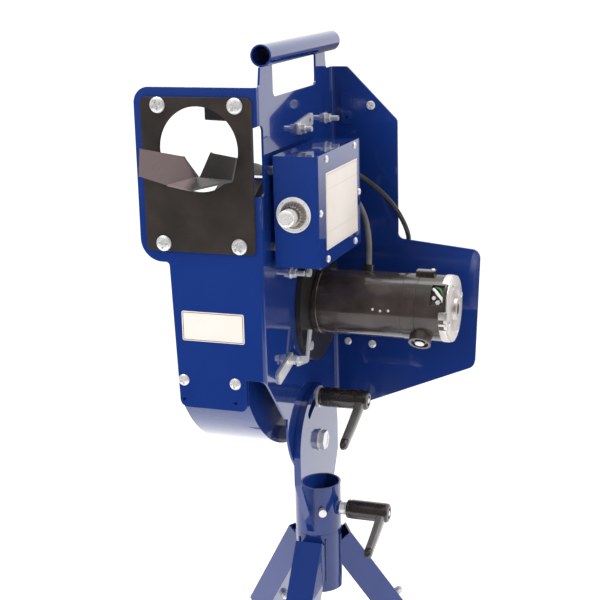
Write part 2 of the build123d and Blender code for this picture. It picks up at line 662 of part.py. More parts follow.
def tilt_washer():
    ring = along_x(17.5, NECK_X[1] + 0.1, NECK_X[1] + 3.1, TILT_STUD_Y, TILT_LEVER_Z)
    return ring - along_x(STUD_R + 0.1, 0, 30, TILT_STUD_Y, TILT_LEVER_Z)


def clamp_lever(x0, length, y, z, arm, fall, bore_depth):
    """A round barrel along X with a flat-sided arm near its far end, fall degrees below level."""
    barrel = along_x(16.0, x0, x0 + length, y, z)
    barrel = fillet(barrel.edges().filter_by(GeomType.CIRCLE), 1.8)
    place = Pos(x0 + length - 10, y, z) * Rot(fall, 0, 0)
    bar = place * Pos(0, -arm / 2, 0) * Box(13, arm, 15)
    body = barrel + fillet(bar.edges(), 3.0)
    return body - along_x(STUD_R + 0.03, x0 - 1, x0 + bore_depth, y, z)


def tilt_lever():
    return clamp_lever(NECK_X[1] + 3.3, 82.0, TILT_STUD_Y, TILT_LEVER_Z, 112.0, 24.0, 46.0)


def swivel_lever():
    """The lower lever with its clamp screw, which reaches the post through the neck tube."""
    x0 = AXIS_X + TUBE_R + 13
    body = clamp_lever(x0, 72.0, AXIS_Y, SWIVEL_LEVER_Z, 96.0, 24.0, 0.5)
    body += along_x(9.5, x0 - 2.8, x0 + 1, AXIS_Y, SWIVEL_LEVER_Z)
    return body + along_x(6.4, AXIS_X + POST_R + 0.1, x0 + 2, AXIS_Y, SWIVEL_LEVER_Z)


# ---------------------------------------------------------------- tripod (stand frame)

def leg_frame(azimuth):
    """The start of one leg: local Z runs down the leg, local X faces outward and up."""
    turn = Rot(0, 0, azimuth)
    start = Pos(SOCKET_START_R, 0, BALL_LINE + SOCKET_TOP_Z)
    return turn * start * Rot(0, 180 - LEG_TILT, 0) * Rot(0, 0, 180)


def tripod_hub():
    """The hub tube with its three square leg sockets, one weldment."""
    z0, z1 = BALL_LINE + HUB_Z[0], BALL_LINE + HUB_Z[1]
    tube = along_z(TUBE_R, 0, 0, z0, z1)
    sockets = None
    for azimuth in LEG_AZIMUTHS.values():
        frame = leg_frame(azimuth)
        outer = frame * Pos(0, 0, SOCKET_LENGTH / 2) * Box(2 * SOCKET_HALF, 2 * SOCKET_HALF, SOCKET_LENGTH)
        inner = frame * Pos(0, 0, SOCKET_LENGTH / 2) * Box(
            2 * SOCKET_BORE_HALF, 2 * SOCKET_BORE_HALF, SOCKET_LENGTH + 2)
        hole = frame * Pos(0, 0, BOLT_DOWN) * Cylinder(4.3, 80, rotation=(0, 90, 0))
        socket = outer - inner - hole
        socket -= along_z(TUBE_R - 1, 0, 0, 0, 900)
        sockets = socket if sockets is None else sockets + socket
    body = tube + sockets
    return body - along_z(TUBE_BORE_R, 0, 0, 0, 900)


def swivel_post():
    post = along_z(POST_R, 0, 0, BALL_LINE + HUB_Z[0] + 2, BALL_LINE + POST_TOP_Z)
    return post - along_z(POST_R - 4.5, 0, 0, 0, 900)


BOLT_DOWN = 150.0           # leg bolt, measured down the socket
LEG_START = 70.0            # where a leg's upper end sits in its socket


def tripod_leg(azimuth):
    frame = leg_frame(azimuth)
    length = 900.0
    outer = frame * Pos(0, 0, LEG_START + length / 2) * Box(2 * LEG_HALF, 2 * LEG_HALF, length)
    bore = 2 * (LEG_HALF - LEG_WALL)
    inner = frame * Pos(0, 0, LEG_START + length / 2) * Box(bore, bore, length + 2)
    hole = frame * Pos(0, 0, BOLT_DOWN) * Cylinder(4.3, 80, rotation=(0, 90, 0))
    above_floor = block((-900, 900), (-900, 900), (FOOT_WALL + 2, 900))
    return (outer - inner - hole) & above_floor


def rubber_foot(azimuth):
    """A boot over the leg's end, its sole flat on the floor."""
    frame = leg_frame(azimuth)
    half = LEG_HALF + FOOT_WALL
    outer = frame * Pos(0, 0, 600) * Box(2 * half, 2 * half, 700)
    inner = frame * Pos(0, 0, 600) * Box(2 * LEG_HALF + 0.1, 2 * LEG_HALF + 0.1, 800)
    band = block((-900, 900), (-900, 900), (0, FOOT_HEIGHT))
    hollow = inner & block((-900, 900), (-900, 900), (FOOT_WALL + 1.9, 900))
    return (outer & band) - hollow


def leg_bolts():
    """A bolt through each socket and leg, head outside and nut inside the tripod."""
    bolts = []
    for azimuth in LEG_AZIMUTHS.values():
        place = leg_frame(azimuth) * Pos(0, 0, BOLT_DOWN) * Rot(0, 90, 0)
        bolt = place * Cylinder(4.2, 2 * SOCKET_HALF + 18)
        bolt += place * Pos(0, 0, SOCKET_HALF + 3.3) * extrude(RegularPolygon(7.2, 6), 3.2, both=True)
        bolt += place * Pos(0, 0, -SOCKET_HALF - 3.6) * extrude(RegularPolygon(7.2, 6), 3.5, both=True)
        bolts.append(bolt)
    return Compound(children=bolts)


# ---------------------------------------------------------------- cords

def corner_radii(route):
    """The largest arc that each corner's two runs leave room for."""
    radii = []
    points = [Vector(*p) for p in route]
    for before, at, after in zip(points, points[1:], points[2:]):
        turn = (at - before).get_angle(after - at)
        shorter = min((at - before).length, (after - at).length)
        radii.append(0.45 * shorter / math.tan(math.radians(turn / 2)))
    return radii


def cord_tube(route, diameter, name):
    radii = corner_radii(route)
    path = FilletPolyline(*route, radius=radii)
    start = Plane(origin=path @ 0, z_dir=path % 0)
    tube = sweep(start * Circle(diameter / 2), path=path)
    print(name, "length", round(path.length, 1), "arc radii", [round(r) for r in radii])
    ideal = path.length * math.pi * diameter ** 2 / 4
    print(name, "volume against section times length", round(tube.volume / ideal, 4))
    return tube


def cord_gland(place, bore):
    """A strain relief: a flange nut, a ribbed sleeve and its bore."""
    body = place * Pos(0, 0, 3.1) * extrude(RegularPolygon(11, 6), 3, both=True)
    body += place * Pos(0, 0, -3) * Cylinder(7.0, 8)
    body += place * Pos(0, 0, (6 + GLAND_LENGTH) / 2) * Cone(9.0, bore + 1.8, GLAND_LENGTH - 6)
    return body - place * Cylinder(bore, 60)


def box_gland(spot, bore):
    return cord_gland(Pos(spot[0], BOX_Y[1], spot[1]) * Rot(-90, 0, 0), bore)


def cord_coil():
    """The outer shape of the coiled spare cord."""
    place = Pos(*COIL_AT) * Rot(90, 0, 0)
    ring = Cylinder(COIL_R + COIL_BAND / 2, COIL_WIDTH) - Cylinder(COIL_R - COIL_BAND / 2, 2 * COIL_WIDTH)
    ring = fillet(ring.edges().filter_by(GeomType.CIRCLE), 4)
    return place * ring


def cord_hook():
    """A rod hook on the shield's back, through the coil."""
    x, y, z = COIL_AT
    top = z + COIL_R - COIL_BAND / 2
    rod = along_y(3, x, top - 3.3, SHIELD_Y + SHEET + 0.1, y + COIL_WIDTH / 2 + 9)
    rod += along_z(3, x, y + COIL_WIDTH / 2 + 6, top - 3.3, top + 16)
    return rod + along_y(11, x, top - 3.3, SHIELD_Y + SHEET + 0.1, SHIELD_Y + SHEET + 2.6)


def cord_plug():
    """A moulded plug hanging from the coil's outer end."""
    x, y, z = COIL_AT[0] - COIL_R, COIL_AT[1], COIL_AT[2]
    tail = Pos(x, y, z - 42) * Cone(8.5, 5.5, 34)
    body = Pos(x, y, z - 74) * Cylinder(15, 32)
    body = fillet(body.edges().filter_by(GeomType.CIRCLE), 4)
    return tail + body - cord_coil()


def plug_blades():
    x, y, z = COIL_AT[0] - COIL_R, COIL_AT[1] + 2, COIL_AT[2] - 90.1
    blades = [block((x + s - 0.75, x + s + 0.75), (y - 3.2, y + 3.2), (z - 17, z)) for s in (-6.35, 6.35)]
    pin = along_z(2.4, x, y - 11, z - 20, z)
    return Compound(children=blades + [pin])


def power_cord():
    return cord_tube(CORD_ROUTE, CORD_D, "power_cord") - cord_coil()


def motor_lead():
    return cord_tube(LEAD_ROUTE, LEAD_D, "motor_lead")


def motor_lead_gland():
    """The lead's boss on top of the motor, leaning a little towards the shield."""
    lean = 19.0
    place = Pos(LEAD_ROUTE[-1][0], WHEEL_Y, WHEEL_Z) * Rot(-lean, 0, 0)
    body = place * Pos(0, 0, MOTOR_R + 3) * Cylinder(9, 11.8)
    body -= along_x(MOTOR_R + 0.1, 0, 200, WHEEL_Y, WHEEL_Z)
    return body


# ---------------------------------------------------------------- the finished part

HEAD = Pos(-AXIS_X, STAND_Y - AXIS_Y, BALL_LINE)
STAND = Pos(0, STAND_Y, 0)

head_pieces = {
    "chassis": chassis(),
    "chute_plate": chute_plate(),
    "feed_chute": feed_chute(),
    "rail_bracket": rail_bracket(),
    "shield_bracket": shield_bracket(),
    "handle_tube": handle_tube(),
    "rating_plate": rating_plate(),
    "chute_screws": chute_screws(),
    "panel_screws": panel_screws(),
    "upper_pad": upper_pad(),
    "pad_bracket": pad_bracket(),
    "wheel_tyre": wheel_tyre(),
    "wheel_rim": wheel_rim(),
    "motor_shaft": motor_shaft(),
    "hub_collar": hub_collar(),
    "wheel_guard": wheel_guard(),
    "guard_spacers": guard_spacers(),
    "motor_flange": motor_flange(),
    "motor_body": motor_body(),
    "motor_end_bell": motor_end_bell(),
    "brush_caps": brush_caps(),
    "motor_bolts": motor_bolts(),
    "motor_lead_gland": motor_lead_gland(),
    "motor_lead": motor_lead(),
    "control_box": control_box(),
    "box_lid": box_lid(),
    "lid_screws": lid_screws(),
    "lid_label": lid_label(),
    "box_standoffs": box_standoffs(),
    "speed_board": speed_board(),
    "dial_plate": dial_plate(),
    "potentiometer": potentiometer(),
    "speed_knob": speed_knob(),
    "web_bolts": web_bolts(),
    "strap_tabs": strap_tabs(),
    "cranked_bar": cranked_bar(),
    "cord_gland": box_gland(CORD_EXIT, CORD_D / 2),
    "lead_gland": box_gland(LEAD_EXIT, LEAD_D / 2),
    "power_cord": power_cord(),
    "cord_coil": cord_coil(),
    "cord_hook": cord_hook(),
    "cord_plug": cord_plug(),
    "plug_blades": plug_blades(),
    "pivot_bolt": pivot_bolt(),
    "pivot_nut": pivot_nut(),
    "tilt_stud": tilt_stud(),
    "tilt_washer": tilt_washer(),
    "tilt_lever": tilt_lever(),
    "swivel_lever": swivel_lever(),
    "neck_plate": neck_plate(),
    "neck_tube": neck_tube(),
    "swivel_boss": swivel_boss(),
    "stop_screw": stop_screw(),
}
stand_pieces = {
    "tripod_hub": tripod_hub(),
    "swivel_post": swivel_post(),
    "leg_bolts": leg_bolts(),
    "rubber_feet": Compound(children=[rubber_foot(a) for a in LEG_AZIMUTHS.values()]),
}
for side, azimuth in LEG_AZIMUTHS.items():
    stand_pieces["leg_" + side] = tripod_leg(azimuth)

for name, shape in head_pieces.items():
    export_step(HEAD * shape, "parts/" + name + ".step")
for name, shape in stand_pieces.items():
    export_step(STAND * shape, "parts/" + name + ".step")
print(len(head_pieces) + len(stand_pieces), "nodes")
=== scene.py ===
import json
import math

import bmesh
import bpy
from mathutils import Matrix, Vector


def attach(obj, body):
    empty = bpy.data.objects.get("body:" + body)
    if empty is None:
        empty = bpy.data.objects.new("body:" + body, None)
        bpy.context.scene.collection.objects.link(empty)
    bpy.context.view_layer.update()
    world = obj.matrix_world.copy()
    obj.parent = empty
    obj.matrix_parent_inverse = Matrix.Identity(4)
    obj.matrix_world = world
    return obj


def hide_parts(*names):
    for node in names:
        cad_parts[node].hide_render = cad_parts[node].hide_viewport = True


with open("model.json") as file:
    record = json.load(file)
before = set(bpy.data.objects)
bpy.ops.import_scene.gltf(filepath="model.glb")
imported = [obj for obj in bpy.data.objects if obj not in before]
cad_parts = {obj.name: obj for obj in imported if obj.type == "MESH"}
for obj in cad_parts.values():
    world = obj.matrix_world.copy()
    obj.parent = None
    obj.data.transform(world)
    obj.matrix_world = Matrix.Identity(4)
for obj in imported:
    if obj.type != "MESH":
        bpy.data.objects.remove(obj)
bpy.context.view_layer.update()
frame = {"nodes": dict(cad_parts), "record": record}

# Head frame to row frame, in millimetres: x - 6.4, y - 94.1, z + 1300.
SHIFT = Vector((-6.4, -94.1, 1300.0))
STAND_Y = 108.4  # the tripod's axis, in the row frame
MOTOR_Y, MOTOR_Z = 228.0, -273.6
NECK_Y, TILT_Z, SWIVEL_Z = 202.5, -428.0, -618.0  # the levers' places
KNOB_X, KNOB_Z = 38.0, -97.0
LEG_AZIMUTHS = (-90, 30, 150)
LEG_LEAN = math.radians(33.5)
LEG_TOP = 625.0


def at(x, y, z):
    """A point of the head, in metres in the row frame."""
    return (Vector((x, y, z)) + SHIFT) / 1000


# ------------------------------------------------------------------ materials

def material(name, colour, rough, metal=0.0, coat=0.0, second=None, scale=6.0, bump=0.0, bump_scale=400.0,
             rough_spread=0.08, bevel=0.0006, edge_wear_and_highlight=None, edge_wear_and_highlight_amount=0.0, stretch=(1, 1, 1), ior=1.5,
             coat_ior=1.5, side=None):
    """A procedural finish: two close tones, uneven roughness, fine bump, softened edges, edges lightened in noise
    patches (part worn paint, part painted edge highlight), and an optional painted sheen below an object X.
    """
    m = bpy.data.materials.new(name)
    m.use_nodes = True
    nt = m.node_tree
    nodes, links = nt.nodes, nt.links
    bsdf = nodes["Principled BSDF"]
    bsdf.inputs["Metallic"].default_value = metal
    bsdf.inputs["Coat Weight"].default_value = coat
    bsdf.inputs["Coat Roughness"].default_value = 0.025
    bsdf.inputs["IOR"].default_value = ior
    bsdf.inputs["Coat IOR"].default_value = coat_ior
    coords = nodes.new("ShaderNodeTexCoord")
    mapping = nodes.new("ShaderNodeMapping")
    mapping.inputs["Scale"].default_value = stretch
    links.new(coords.outputs["Object"], mapping.inputs["Vector"])

    def noise(noise_scale, detail=4.0):
        n = nodes.new("ShaderNodeTexNoise")
        n.inputs["Scale"].default_value = noise_scale
        n.inputs["Detail"].default_value = detail
        links.new(mapping.outputs["Vector"], n.inputs["Vector"])
        return n

    broad = noise(scale)
    ramp = nodes.new("ShaderNodeValToRGB")
    ramp.color_ramp.elements[0].position = 0.35
    ramp.color_ramp.elements[1].position = 0.68
    ramp.color_ramp.elements[0].color = (*colour, 1)
    ramp.color_ramp.elements[1].color = (*(second or [c * 1.25 for c in colour]), 1)
    links.new(broad.outputs["Fac"], ramp.inputs["Fac"])
    colour_out = ramp.outputs["Color"]
    # Optional painted sheen: below the low object X the given colour replaces the finish, blending out by the high X.
    if side is not None:
        painted_sheen_colour, painted_sheen_low, painted_sheen_high = side
        across = nodes.new("ShaderNodeSeparateXYZ")
        links.new(coords.outputs["Object"], across.inputs["Vector"])
        painted_sheen_mask = nodes.new("ShaderNodeMapRange")
        painted_sheen_mask.inputs["From Min"].default_value = painted_sheen_high
        painted_sheen_mask.inputs["From Max"].default_value = painted_sheen_low
        links.new(across.outputs["X"], painted_sheen_mask.inputs["Value"])
        two = nodes.new("ShaderNodeMix")
        two.data_type = "RGBA"
        two.inputs[7].default_value = (*painted_sheen_colour, 1)
        links.new(painted_sheen_mask.outputs["Result"], two.inputs[0])
        links.new(colour_out, two.inputs[6])
        colour_out = two.outputs[2]

    soft = nodes.new("ShaderNodeBevel")
    soft.samples = 4
    soft.inputs["Radius"].default_value = bevel
    # Edges lighten in noise patches towards the given colour: part worn paint, part painted highlight where edges
    # catch the light.
    if edge_wear_and_highlight is not None:
        geometry = nodes.new("ShaderNodeNewGeometry")
        dot = nodes.new("ShaderNodeVectorMath")
        dot.operation = "DOT_PRODUCT"
        links.new(soft.outputs["Normal"], dot.inputs[0])
        links.new(geometry.outputs["Normal"], dot.inputs[1])
        edge = nodes.new("ShaderNodeMapRange")
        edge.inputs["From Min"].default_value = 0.995
        edge.inputs["From Max"].default_value = 0.86
        links.new(dot.outputs["Value"], edge.inputs["Value"])
        patches = noise(90.0, 6.0)
        gate = nodes.new("ShaderNodeMapRange")
        gate.inputs["From Min"].default_value = 0.42
        gate.inputs["From Max"].default_value = 0.62
        gate.inputs["To Max"].default_value = edge_wear_and_highlight_amount
        links.new(patches.outputs["Fac"], gate.inputs["Value"])
        both = nodes.new("ShaderNodeMath")
        both.operation = "MULTIPLY"
        links.new(edge.outputs["Result"], both.inputs[0])
        links.new(gate.outputs["Result"], both.inputs[1])
        mix = nodes.new("ShaderNodeMix")
        mix.data_type = "RGBA"
        mix.inputs[7].default_value = (*edge_wear_and_highlight, 1)
        links.new(both.outputs["Value"], mix.inputs[0])
        links.new(colour_out, mix.inputs[6])
        colour_out = mix.outputs[2]
    links.new(colour_out, bsdf.inputs["Base Color"])

    spread = nodes.new("ShaderNodeMapRange")
    spread.inputs["To Min"].default_value = max(0.02, rough - rough_spread)
    spread.inputs["To Max"].default_value = min(1.0, rough + rough_spread)
    fine = noise(scale * 9.0, 5.0)
    links.new(fine.outputs["Fac"], spread.inputs["Value"])
    links.new(spread.outputs["Result"], bsdf.inputs["Roughness"])

    normal = soft.outputs["Normal"]
    if bump > 0:
        grain = noise(bump_scale, 3.0)
        b = nodes.new("ShaderNodeBump")
        b.inputs["Strength"].default_value = bump
        b.inputs["Distance"].default_value = 0.0004
        links.new(grain.outputs["Fac"], b.inputs["Height"])
        links.new(normal, b.inputs["Normal"])
        normal = b.outputs["Normal"]
    links.new(normal, bsdf.inputs["Normal"])
    return m


# The enamel's lighter blue edge colour is a painted highlight along lit edges.
BLUE = material("blue_enamel", (0.006, 0.026, 0.16), 0.10, coat=1.0, second=(0.010, 0.036, 0.20), scale=3.0,
                bump=0.010, bump_scale=90.0, rough_spread=0.03, bevel=0.0009, edge_wear_and_highlight=(0.05, 0.12, 0.42),
                edge_wear_and_highlight_amount=0.7, ior=1.35, coat_ior=1.44)
BLACK_PANEL = material("black_panel", (0.017, 0.012, 0.010), 0.62, second=(0.030, 0.021, 0.017), scale=26.0,
                       bump=0.35, bump_scale=900.0, bevel=0.0007, edge_wear_and_highlight=(0.09, 0.08, 0.075), edge_wear_and_highlight_amount=0.5)
# The chute sheet turns grey-mauve below object X -0.112 m: a painted sheen on the chute's left wing.
BLACK_SHEET = material("black_sheet", (0.016, 0.014, 0.014), 0.3, coat=0.3, second=(0.03, 0.026, 0.026),
                       scale=10.0, bump=0.10, bump_scale=500.0, bevel=0.0007, edge_wear_and_highlight=(0.22, 0.2, 0.19), edge_wear_and_highlight_amount=0.6,
                       side=((0.15, 0.11, 0.112), -0.112, -0.098))
ZINC = material("zinc_plate", (0.74, 0.74, 0.75), 0.34, metal=0.55, second=(0.86, 0.85, 0.84), scale=40.0,
                bump=0.03, bump_scale=600.0, bevel=0.0004, rough_spread=0.05)
STEEL = material("steel_sheet", (0.45, 0.45, 0.46), 0.34, metal=1.0, second=(0.56, 0.56, 0.56), scale=30.0,
                 bump=0.1, bump_scale=700.0, stretch=(1, 6, 1))
ALUMINIUM = material("aluminium", (0.62, 0.58, 0.56), 0.45, metal=1.0, second=(0.74, 0.70, 0.67), scale=25.0,
                     bump=0.35, bump_scale=520.0, bevel=0.001)
CHROME = material("knob_cap_chrome", (0.80, 0.78, 0.75), 0.28, metal=0.45, second=(0.9, 0.88, 0.85), scale=60.0,
                  bump=0.05, bump_scale=1500.0, rough_spread=0.05)
KNOB = material("knob_metal", (0.34, 0.29, 0.23), 0.3, metal=1.0, second=(0.45, 0.39, 0.31), scale=60.0,
                bump=0.1, bump_scale=1200.0)
MOTOR_GREY = material("motor_grey", (0.026, 0.019, 0.017), 0.2, coat=0.5, second=(0.055, 0.042, 0.038), scale=22.0,
                      bump=0.10, bump_scale=200.0, bevel=0.0008, edge_wear_and_highlight=(0.16, 0.14, 0.13), edge_wear_and_highlight_amount=0.5, ior=1.42,
                      coat_ior=1.42)
MOTOR_BLACK = material("motor_black", (0.012, 0.011, 0.011), 0.4, coat=0.2, second=(0.022, 0.02, 0.02), scale=12.0,
                       bump=0.25, bump_scale=420.0, bevel=0.0009)
CREAM = material("cream_label", (0.76, 0.69, 0.62), 0.42, coat=0.3, second=(0.82, 0.76, 0.70), scale=9.0,
                 bump=0.05, bump_scale=800.0, bevel=0.0002)
LABEL_EDGE = material("label_edge", (0.16, 0.02, 0.03), 0.45, second=(0.2, 0.03, 0.04), scale=30.0)
LABEL_LINE = material("label_line", (0.55, 0.50, 0.46), 0.5, second=(0.6, 0.55, 0.5), scale=30.0)
RUBBER = material("black_rubber", (0.012, 0.012, 0.012), 0.72, second=(0.022, 0.021, 0.02), scale=18.0,
                  bump=0.4, bump_scale=700.0, bevel=0.001)
TYRE = material("tyre_rubber", (0.02, 0.018, 0.014), 0.6, second=(0.05, 0.042, 0.034), scale=9.0, bump=0.5,
                bump_scale=500.0, bevel=0.0008)
CORD = material("cord_jacket", (0.014, 0.013, 0.013), 0.42, second=(0.024, 0.022, 0.022), scale=30.0, bump=0.15,
                bump_scale=900.0, bevel=0.0002)
LEAD = material("lead_jacket", (0.11, 0.105, 0.10), 0.45, second=(0.16, 0.15, 0.145), scale=40.0, bump=0.2,
                bump_scale=900.0, bevel=0.0002)
PLASTIC = material("black_plastic", (0.014, 0.014, 0.014), 0.45, second=(0.022, 0.022, 0.022), scale=25.0,
                   bump=0.25, bump_scale=1100.0)
LEVER = material("lever_grey", (0.016, 0.011, 0.009), 0.26, coat=0.5, second=(0.026, 0.019, 0.016), scale=18.0,
                 bump=0.05, bump_scale=500.0, bevel=0.0007, edge_wear_and_highlight=(0.2, 0.19, 0.18), edge_wear_and_highlight_amount=0.3)
LEVER_ARM = material("lever_arm", (0.13, 0.125, 0.12), 0.24, metal=0.4, coat=0.5, second=(0.2, 0.19, 0.185),
                     scale=30.0, bump=0.10, bump_scale=500.0, bevel=0.0007)
BOARD = material("circuit", (0.01, 0.09, 0.03), 0.4, second=(0.015, 0.12, 0.04), scale=50.0)
NICKEL = material("nickel", (0.72, 0.68, 0.60), 0.2, metal=1.0, second=(0.8, 0.76, 0.68), scale=60.0)
WIRE_WHITE = material("wire_white", (0.7, 0.68, 0.63), 0.4, second=(0.78, 0.76, 0.7), scale=60.0)
WIRE_GREEN = material("wire_green", (0.03, 0.15, 0.04), 0.4, second=(0.05, 0.2, 0.06), scale=60.0)
DIAL_FACE = material("dial_face", (0.80, 0.79, 0.79), 0.4, metal=0.2, second=(0.88, 0.87, 0.87), scale=50.0,
                     bump=0.05, bump_scale=1200.0)
MARK = material("dial_mark", (0.02, 0.02, 0.02), 0.5, second=(0.03, 0.03, 0.03), scale=60.0)

FINISH = {
    "blue_enamel": BLUE, "black_panel": BLACK_PANEL, "black_sheet": BLACK_SHEET, "zinc_plate": ZINC,
    "steel_sheet": STEEL, "aluminium": ALUMINIUM, "motor_black": MOTOR_BLACK, "motor_grey": MOTOR_GREY,
    "cream_label": CREAM, "black_rubber": RUBBER, "tyre_rubber": TYRE, "black_cord": CORD, "lead_grey": LEAD,
    "black_plastic": PLASTIC, "knob_metal": KNOB, "lever_grey": LEVER, "circuit": BOARD, "nickel": NICKEL,
}
OWN_FINISH = {"dial_plate": DIAL_FACE, "motor_end_bell": MOTOR_GREY}
for part in frame["record"]["subparts"]:
    o = frame["nodes"][part["node"]]
    finish = OWN_FINISH.get(part["node"], FINISH[part["material_slot"]])
    if len(o.data.materials) == 0:
        o.data.materials.append(finish)
    for s in o.material_slots:
        s.link = "OBJECT"
        s.material = finish


# ------------------------------------------------------------------ mesh helpers

def keep(name, bm, finish, body, smooth=True, angle=35.0):
    """A finished piece from a bmesh, shaded smooth under an angle, riding on a body."""
    bmesh.ops.recalc_face_normals(bm, faces=bm.faces)
    mesh = bpy.data.meshes.new(name)
    bm.to_mesh(mesh)
    bm.free()
    o = bpy.data.objects.new(name, mesh)
    bpy.context.scene.collection.objects.link(o)
    mesh.materials.append(finish)
    if smooth:
        limit = math.radians(angle)
        mesh.polygons.foreach_set("use_smooth", [True] * len(mesh.polygons))
        mesh.set_sharp_from_angle(angle=limit)
    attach(o, body)
    return o


def skin(bm, rings):
    """Faces between rings that have the same number of points."""
    for low, high in zip(rings, rings[1:]):
        count = len(low)
        for k in range(count):
            bm.faces.new((low[k], low[(k + 1) % count], high[(k + 1) % count], high[k]))


def soft_square(angle, power, half_x, half_y):
    """A point of a rectangle with rounded corners; a lower power is squarer."""
    c, s = math.cos(angle), math.sin(angle)
    return math.copysign(abs(c) ** power, c) * half_x, math.copysign(abs(s) ** power, s) * half_y


def place(origin, direction, twist=(0, 0, 1)):
    """A matrix with local Z along direction at origin, in metres."""
    z = Vector(direction).normalized()
    hint = Vector(twist)
    if abs(z.dot(hint)) > 0.95:
        hint = Vector((1, 0, 0))
    x = hint.cross(z).normalized()
    y = z.cross(x)
    m = Matrix((x, y, z)).transposed().to_4x4()
    m.translation = Vector(origin)
    return m


def lathe_into(bm, profile, matrix, segments=48, flute=None):
    """Turned shape from (radius, height) points in mm; a zero radius closes an end."""
    rings = []
    for r, h in profile:
        if r <= 0:
            rings.append([bm.verts.new(matrix @ Vector((0, 0, h / 1000)))])
            continue
        ring = []
        for k in range(segments):
            a = 2 * math.pi * k / segments
            rr = r * (flute(a, h) if flute else 1.0)
            ring.append(bm.verts.new(matrix @ (Vector((rr * math.cos(a), rr * math.sin(a), h)) / 1000)))
        rings.append(ring)
    for low, high in zip(rings, rings[1:]):
        n = max(len(low), len(high))
        for k in range(n):
            a, b = low[k % len(low)], low[(k + 1) % len(low)]
            c, d = high[(k + 1) % len(high)], high[k % len(high)]
            corners = []
            for v in (a, b, c, d):
                if v not in corners:
                    corners.append(v)
            if len(corners) > 2:
                bm.faces.new(corners)


def lathe(name, profile, matrix, finish, body, segments=48, flute=None, angle=35.0):
    bm = bmesh.new()
    lathe_into(bm, profile, matrix, segments, flute)
    return keep(name, bm, finish, body, angle=angle)


def box_into(bm, low, high):
    """A box from two corners in metres."""
    made = bmesh.ops.create_cube(bm, size=1.0)["verts"]
    low, high = Vector(low), Vector(high)
    for v in made:
        v.co = Vector((low[i] + (v.co[i] + 0.5) * (high[i] - low[i]) for i in range(3)))


def weld(name, points, radius, body, finish=None, closed=False):
    """A bead with the ripples of a hand weld, along points in metres."""
    bm = bmesh.new()
    line = [Vector(p) for p in points]
    steps = []
    pairs = list(zip(line, line[1:])) + ([(line[-1], line[0])] if closed else [])
    for a, b in pairs:
        n = max(2, int((b - a).length / 0.0011))
        steps += [a.lerp(b, k / n) for k in range(n)]
    if not closed:
        steps.append(line[-1])
    rings = []
    count = len(steps)
    for k, p in enumerate(steps):
        ahead = steps[(k + 1) % count] if closed or k + 1 < count else p
        behind = steps[k - 1] if closed or k > 0 else p
        m = place(p, ahead - behind if (ahead - behind).length > 0 else (0, 0, 1))
        ripple = radius * (1 + 0.13 * math.sin(k * 1.9) + 0.05 * math.sin(k * 0.37)) / 1000
        if not closed and k in (0, count - 1):
            ripple *= 0.35
        rings.append([bm.verts.new(m @ Vector((ripple * math.cos(t), ripple * math.sin(t), 0)))
                      for t in [2 * math.pi * j / 10 for j in range(10)]])
    skin(bm, rings + rings[:1] if closed else rings)
    if not closed:
        bm.faces.new(rings[0][::-1])
        bm.faces.new(rings[-1])
    return keep(name, bm, finish or BLUE, body, angle=60)


def screw_head_into(bm, centre, direction, radius, height, cross, twist):
    """A domed head with a cross recess cut into its crown."""
    m = place(centre, direction) @ Matrix.Rotation(twist, 4, "Z")
    segments, rings = 64, 16
    grid = []
    for i in range(rings + 1):
        r = radius * math.sin(0.5 * math.pi * i / rings) if i < rings else radius
        h = height * math.cos(0.5 * math.pi * i / rings) ** 0.8 if i < rings else 0.0
        ring = []
        for k in range(segments if i else 1):
            a = 2 * math.pi * k / segments
            x, y = r * math.cos(a), r * math.sin(a)
            arm = min(max(abs(x) / (cross * radius), abs(y) / (0.16 * radius)),
                      max(abs(y) / (cross * radius), abs(x) / (0.16 * radius)))
            sink = 0.55 * height * max(0.0, min(1.0, (1.15 - arm) / 0.3))
            ring.append(bm.verts.new(m @ Vector((x / 1000, y / 1000, (h - sink) / 1000))))
        grid.append(ring)
    foot = [bm.verts.new(m @ Vector((0.97 * radius * math.cos(2 * math.pi * k / segments) / 1000,
                                     0.97 * radius * math.sin(2 * math.pi * k / segments) / 1000,
                                     0.02 / 1000))) for k in range(segments)]
    for k in range(segments):
        bm.faces.new((grid[0][0], grid[1][k], grid[1][(k + 1) % segments]))
    skin(bm, grid[1:] + [foot])
    bm.faces.new(foot)


# ------------------------------------------------------------------ screws

def screws(name, spots, replaced, body="head"):
    bm = bmesh.new()
    for n, (centre, direction, radius, height) in enumerate(spots):
        screw_head_into(bm, centre, direction, radius, height, 0.62, 0.35 + 1.13 * n)
        lathe_into(bm, [(0, -9), (0.27 * radius, -9), (0.27 * radius, 0.1), (0, 0.1)],
                   place(centre, direction), 20)
    o = keep(name, bm, ZINC, body, angle=28)
    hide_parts(replaced)
    return o


CHUTE_SCREWS = [(x, z) for x in (-151.0, -31.3) for z in (63.4, -139.2)]
screws("chute_screw_heads", [(at(x, -6.5, z), (0, -1, 0), 11.9, 5.4) for x, z in CHUTE_SCREWS], "chute_screws")
screws("panel_screw_heads",
       [(at(-132, 0, -350), (0, -1, 0), 8.9, 4.1), (at(-48.4, 0, -350), (0, -1, 0), 8.9, 4.1),
        (at(65.5, 330.8, 28), (0, -1, 0), 7.4, 3.0), (at(20.8, 330.8, -370), (0, -1, 0), 6.4, 2.7),
        (at(63.5, 330.8, -372), (0, -1, 0), 6.9, 2.9)], "panel_screws")
LID_SCREWS = [(71, -20), (205, -19), (225, -94), (42, -95), (204, -168), (72, -168)]
screws("lid_screw_heads", [(at(77.1, y, z), (1, 0, 0), 5.5, 2.9) for y, z in LID_SCREWS], "lid_screws")

# ------------------------------------------------------------------ labels and dial

